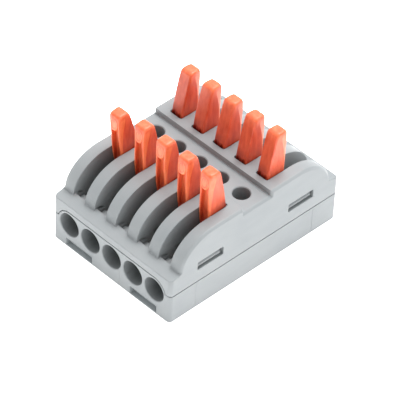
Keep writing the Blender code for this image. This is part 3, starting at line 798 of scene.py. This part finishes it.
class Shade:
    """A Principled material and short ways to add nodes to it."""

    def __init__(self, name):
        self.material = bpy.data.materials.new(name)
        self.material.use_nodes = True
        self.tree = self.material.node_tree
        self.shader = self.tree.nodes["Principled BSDF"]
        self.place = self.add("ShaderNodeTexCoord").outputs["Object"]

    def add(self, kind, **inputs):
        node = self.tree.nodes.new(kind)
        for name, value in inputs.items():
            self.feed(node, name, value)
        return node

    def feed(self, node, name, value):
        socket = node.inputs[name.replace("_", " ")]
        if isinstance(value, bpy.types.NodeSocket):
            self.tree.links.new(value, socket)
        else:
            socket.default_value = value

    def stretched(self, scale):
        """Object coordinates, scaled along each axis."""
        return self.add("ShaderNodeMapping", Vector=self.place, Scale=scale).outputs["Vector"]

    def noise(self, size_mm, stretch=(1, 1, 1), detail=3.0):
        """Noise whose features are about this many millimetres across."""
        place = self.stretched(stretch)
        node = self.add("ShaderNodeTexNoise", Vector=place, Scale=1 / (size_mm * MM), Detail=detail)
        return node.outputs["Fac"]

    def ramp(self, value, low, high, from_low=NOISE_LOW, from_high=NOISE_HIGH):
        """A value stretched so that one range becomes another."""
        node = self.add("ShaderNodeMapRange", Value=value, From_Min=from_low, From_Max=from_high)
        self.feed(node, "To_Min", low)
        self.feed(node, "To_Max", high)
        return node.outputs["Result"]

    def colours(self, value, pair):
        """A blend of two colours that follows a noise value."""
        node = self.add("ShaderNodeValToRGB", Fac=value)
        for element, position, colour in zip(node.color_ramp.elements, (NOISE_LOW, NOISE_HIGH), pair):
            element.position = position
            element.color = (*colour, 1.0)
        return node.outputs["Color"]

    def point_value(self, name):
        """A value that the mesh holds at each point."""
        node = self.add("ShaderNodeAttribute")
        node.attribute_name = name
        return node.outputs["Fac"]

    def mix(self, factor, first, second, blend="MIX"):
        """One colour blended into another, or multiplied by it."""
        node = self.add("ShaderNodeMix")
        node.data_type = "RGBA"
        node.blend_type = blend
        self.feed(node, "Factor", factor)
        self.feed(node, "A", first)
        self.feed(node, "B", second)
        return node.outputs["Result"]

    def bump(self, height, distance_mm, strength, below=None):
        """Fine relief, on top of any relief below it."""
        node = self.add("ShaderNodeBump", Height=height, Distance=distance_mm * MM, Strength=strength)
        if below is not None:
            self.feed(node, "Normal", below)
        return node.outputs["Normal"]

    def set(self, **inputs):
        for name, value in inputs.items():
            self.feed(self.shader, name, value)
        return self.material


# Painted shade: how much of its colour the housing keeps in its deepest hollows, and inside the wire entries
HOLLOW_SHADE = 0.92
HOLLOW_REACH_MM = 6.0
HOLLOW_OPENNESS = (0.05, 0.55)
HOLLOW_SAMPLES = 8
# Painted shade in the wire entries, and painted light in the foot pockets by as much
ENTRY_SHADE_POCKET_LIGHT = 0.5

# Pairs of colours that the noise blends
HOUSING_GREYS = ((0.235, 0.252, 0.26), (0.255, 0.27, 0.276))
LEVER_DEEP = ((0.56, 0.064, 0.017), (0.71, 0.11, 0.04))
# The pale orange of the painted light that glows through the levers
LEVER_PALE = ((0.75, 0.15, 0.05), (0.86, 0.22, 0.092))
# The dark red of the painted shade at the levers' heels
HEEL_SHADE_RED = (0.2, 0.012, 0.006, 1.0)
STEEL_GREYS = ((0.50, 0.50, 0.51), (0.66, 0.66, 0.67))
TIN_GREYS = ((0.66, 0.62, 0.56), (0.80, 0.77, 0.72))
FLOOR_WHITES = ((0.88, 0.88, 0.88), (0.9, 0.9, 0.9))


def housing_plastic():
    """Light cool grey polycarbonate with a fine grain and faint flow marks, with painted shade in its hollows
    and wire entries and painted light in its foot pockets.
    """
    shade = Shade("housing_plastic")
    cloud = shade.noise(9.0, detail=2.0)
    colour = shade.colours(cloud, HOUSING_GREYS)
    grain = shade.noise(0.16, detail=2.0)
    flow = shade.noise(1.4, stretch=(1, 0.25, 1), detail=3.0)
    # Painted shade: the colour is multiplied down where the housing is closed in by hollows
    openness = shade.add("ShaderNodeAmbientOcclusion", Distance=HOLLOW_REACH_MM * MM)
    openness.samples = HOLLOW_SAMPLES
    depth = shade.ramp(openness.outputs["AO"], HOLLOW_SHADE, 1.0, *HOLLOW_OPENNESS)
    # Painted shade in the wire entries and painted light in the foot pockets, from the mesh's point values
    entry_shade_pocket_light = shade.ramp(shade.point_value("deep"), 2 - ENTRY_SHADE_POCKET_LIGHT, ENTRY_SHADE_POCKET_LIGHT, -1.0, 1.0)
    both = shade.add("ShaderNodeMath")
    both.operation = "MULTIPLY"
    shade.tree.links.new(depth, both.inputs[0])
    shade.tree.links.new(entry_shade_pocket_light, both.inputs[1])
    darkened = shade.mix(1.0, colour, both.outputs["Value"], blend="MULTIPLY")
    rough = shade.ramp(flow, 0.42, 0.54)
    normal = shade.bump(grain, 0.012, 0.35)
    normal = shade.bump(flow, 0.03, 0.25, normal)
    return shade.set(Base_Color=darkened, Roughness=rough, Normal=normal, Specular_IOR_Level=0.45)


def lever_plastic():
    """Orange polyamide: slightly translucent, with flow lines, painted light glowing through at the tip,
    ridges, pad and groove, and painted shade deepening the red at the heel.
    """
    shade = Shade("lever_plastic")
    flow = shade.noise(0.7, stretch=(1, 1, 0.25), detail=3.0)
    deep, pale = shade.colours(flow, LEVER_DEEP), shade.colours(flow, LEVER_PALE)
    # Painted light: the pale orange is blended in at the tip, ridges, pad and groove
    orange = shade.mix(shade.point_value("painted_glow"), deep, pale)
    # Painted shade: the colour deepens to dark red at the heel
    colour = shade.mix(shade.point_value("heel_shade"), orange, HEEL_SHADE_RED)
    grain = shade.noise(0.2, detail=2.0)
    rough = shade.ramp(grain, 0.3, 0.42)
    normal = shade.bump(grain, 0.012, 0.3)
    normal = shade.bump(flow, 0.05, 0.35, normal)
    shade.set(Subsurface_Weight=0.25, Subsurface_Radius=(1.0, 0.25, 0.08), Subsurface_Scale=0.7 * MM)
    return shade.set(Base_Color=colour, Roughness=rough, Normal=normal, Specular_IOR_Level=0.5)


def spring_steel():
    """Rolled spring strip: fine lines across the bends and a few duller patches."""
    shade = Shade("spring_steel")
    rolling = shade.noise(0.1, stretch=(0.15, 1, 1), detail=2.0)
    patches = shade.noise(1.5, detail=3.0)
    colour = shade.colours(patches, STEEL_GREYS)
    rough = shade.ramp(rolling, 0.24, 0.4)
    normal = shade.bump(rolling, 0.008, 0.4)
    return shade.set(Base_Color=colour, Metallic=1.0, Roughness=rough, Normal=normal)


def tinned_copper():
    """Matt tin plate with a slightly mottled crystal bloom."""
    shade = Shade("tinned_copper")
    bloom = shade.noise(0.7, detail=4.0)
    colour = shade.colours(bloom, TIN_GREYS)
    rough = shade.ramp(bloom, 0.28, 0.46)
    normal = shade.bump(shade.noise(0.15), 0.006, 0.4)
    return shade.set(Base_Color=colour, Metallic=1.0, Roughness=rough, Normal=normal)


def floor_paint():
    """Pale paint that glows a little, so the floor fades into the white tent."""
    shade = Shade("pale_floor")
    haze = shade.noise(60.0, detail=2.0)
    colour = shade.colours(haze, FLOOR_WHITES)
    shade.set(Emission_Color=(1.0, 1.0, 1.0, 1.0), Emission_Strength=FLOOR_GLOW)
    return shade.set(Base_Color=colour, Roughness=0.85, Specular_IOR_Level=0.2)


# ---------------------------------------------------------------- the studio

TENT_SIDE, TENT_TOP = 1.2, 1.35
GAP_TOWARDS, GAP_EDGE, GAP_DEPTH = (0.2, -0.85, 0.5), 0.5, 0.95
TENT_COLOUR = (0.985, 0.995, 1.0, 1.0)
# Each lamp is the direction it shines from, its distance, its width and its power.
LAMP = ((-0.05, 0.4, 1), 0.6, 0.3, 4.0)
LOW_LAMP = ((0.1, -1, 0.12), 0.5, 0.2, 0.3)
FLOOR_GLOW = 1.05
FLOOR_HALF_SIZE = 3.0
FLOOR_DROP = 0.00005

CAMERA_AZIMUTH_DEG, CAMERA_ELEVATION_DEG, CAMERA_ROLL_DEG = 44.19, 42.53, 2.88
CAMERA_DISTANCE, CAMERA_SHIFT_X, CAMERA_SHIFT_Y = 0.54977, -0.00082, -0.00427
LENS_MM, SENSOR_MM = 300.55, 36.0
NEAR_CLIP = 0.01


def make_floor():
    """A wide pale floor, a hair below the part."""
    bm = bmesh.new()
    bmesh.ops.create_grid(bm, x_segments=1, y_segments=1, size=FLOOR_HALF_SIZE)
    floor = solid("floor", bm)
    floor.location.z = -FLOOR_DROP
    floor.data.materials.append(floor_paint())


def soft_light(name, towards, distance, size, power):
    """A large square light that looks at the middle of the object from a direction."""
    data = bpy.data.lights.new(name, "AREA")
    data.shape = "SQUARE"
    data.size = size
    data.energy = power
    light = bpy.data.objects.new(name, data)
    back = Vector(towards).normalized()
    light.location = back * distance
    light.rotation_euler = (-back).to_track_quat("-Z", "Y").to_euler()
    bpy.context.scene.collection.objects.link(light)


def make_light():
    """A white tent, brighter overhead and with a dim gap in front, and two soft lamps."""
    world = bpy.data.worlds.new("studio")
    world.use_nodes = True
    nodes, links = world.node_tree.nodes, world.node_tree.links
    direction = nodes.new("ShaderNodeTexCoord").outputs["Generated"]
    split = nodes.new("ShaderNodeSeparateXYZ")
    links.new(direction, split.inputs["Vector"])
    brightness = nodes.new("ShaderNodeMapRange")
    links.new(split.outputs["Z"], brightness.inputs["Value"])
    brightness.inputs["To Min"].default_value = TENT_SIDE
    brightness.inputs["To Max"].default_value = TENT_TOP
    nearness = nodes.new("ShaderNodeVectorMath")
    nearness.operation = "DOT_PRODUCT"
    links.new(direction, nearness.inputs[0])
    nearness.inputs[1].default_value = Vector(GAP_TOWARDS).normalized()
    gap = nodes.new("ShaderNodeMapRange")
    gap.interpolation_type = "SMOOTHSTEP"
    links.new(nearness.outputs["Value"], gap.inputs["Value"])
    gap.inputs["From Min"].default_value = GAP_EDGE
    gap.inputs["To Max"].default_value = GAP_DEPTH
    dimmed = nodes.new("ShaderNodeMath")
    dimmed.operation = "SUBTRACT"
    links.new(brightness.outputs["Result"], dimmed.inputs[0])
    links.new(gap.outputs["Result"], dimmed.inputs[1])
    background = nodes["Background"]
    background.inputs["Color"].default_value = TENT_COLOUR
    links.new(dimmed.outputs["Value"], background.inputs["Strength"])
    bpy.context.scene.world = world
    soft_light("lamp", *LAMP)
    soft_light("low_lamp", *LOW_LAMP)
    bpy.context.scene.view_settings.view_transform = "Standard"


def make_camera():
    """A long lens from the front right, 43 degrees above the floor."""
    azimuth = math.radians(CAMERA_AZIMUTH_DEG)
    elevation = math.radians(CAMERA_ELEVATION_DEG)
    roll = math.radians(CAMERA_ROLL_DEG)
    level = math.cos(elevation)
    back = Vector((math.sin(azimuth) * level, -math.cos(azimuth) * level, math.sin(elevation)))
    across = Vector((0, 0, 1)).cross(back).normalized()
    up = back.cross(across)
    right = math.cos(roll) * across + math.sin(roll) * up
    top = -math.sin(roll) * across + math.cos(roll) * up
    data = bpy.data.cameras.new("camera")
    data.lens = LENS_MM
    data.sensor_width = SENSOR_MM
    data.clip_start = NEAR_CLIP
    camera = bpy.data.objects.new("camera", data)
    place = Matrix((right, top, back)).transposed().to_4x4()
    place.translation = -CAMERA_SHIFT_X * right - CAMERA_SHIFT_Y * top + CAMERA_DISTANCE * back
    camera.matrix_world = place
    bpy.context.scene.collection.objects.link(camera)
    bpy.context.scene.camera = camera


# ---------------------------------------------------------------- assembly


def paint_node(node, shade):
    """Gives a carried-over CAD node its detailed material."""
    mesh = frame["nodes"][node].data
    mesh.materials.clear()
    mesh.materials.append(shade)


make_camera()
make_floor()
make_light()

housing = housing_plastic()
for piece, node in ((make_cover(), "cover"), (make_base(), "base")):
    piece.data.materials.clear()
    piece.data.materials.append(housing)
    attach(piece, "housing")
    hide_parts(node)
place_levers(lever_plastic())

steel = spring_steel()
tin = tinned_copper()
for number in POLES:
    paint_node(f"current_bar_{number}", tin)
    paint_node(f"front_spring_{number}", steel)
    paint_node(f"rear_spring_{number}", steel)
